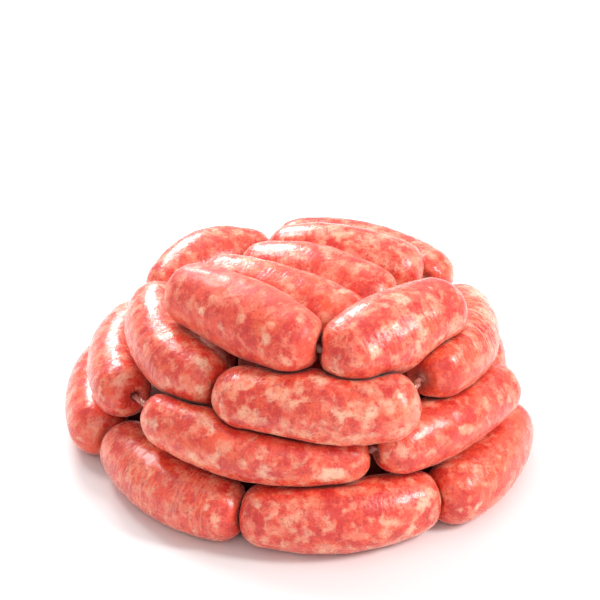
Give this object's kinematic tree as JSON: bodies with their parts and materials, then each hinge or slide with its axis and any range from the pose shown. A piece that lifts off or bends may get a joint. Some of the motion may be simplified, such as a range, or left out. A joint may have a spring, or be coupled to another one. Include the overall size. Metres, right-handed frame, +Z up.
{
  "type": "string of sausage links",
  "caption": "String of plump raw sausage links, joined by twisted necks of casing and coiled up into a round, stepped heap.",
  "frame": {"origin": "on the surface the heap lies on, under the middle of its box", "axes": "+Z up; the front of the heap, where two links meet on its crown, faces -Y"},
  "size_m": [0.2596, 0.2476, 0.1243],
  "materials": {
    "raw_sausage": "raw minced pork seen through a moist, glossy natural casing: pink and red lean with pale fat"
  },
  "bodies": {
    "root": {"core_1": "raw_sausage", "core_2": "raw_sausage", "core_3": "raw_sausage", "core_4": "raw_sausage", "bottom_left": "raw_sausage", "bottom_front_left": "raw_sausage", "bottom_front": "raw_sausage", "bottom_right": "raw_sausage", "bottom_back_right": "raw_sausage", "bottom_back": "raw_sausage", "bottom_back_left": "raw_sausage", "core_5": "raw_sausage", "core_6": "raw_sausage", "core_7": "raw_sausage", "core_8": "raw_sausage", "second_back_right": "raw_sausage", "second_right": "raw_sausage", "second_front": "raw_sausage", "second_left": "raw_sausage", "second_back_left": "raw_sausage", "second_back": "raw_sausage", "third_right": "raw_sausage", "third_front": "raw_sausage", "third_left": "raw_sausage", "third_back_left": "raw_sausage", "third_back": "raw_sausage", "crown_back": "raw_sausage", "crown_middle": "raw_sausage", "crown_front": "raw_sausage", "crown_left": "raw_sausage", "crown_right": "raw_sausage"}
  },
  "joints": []
}
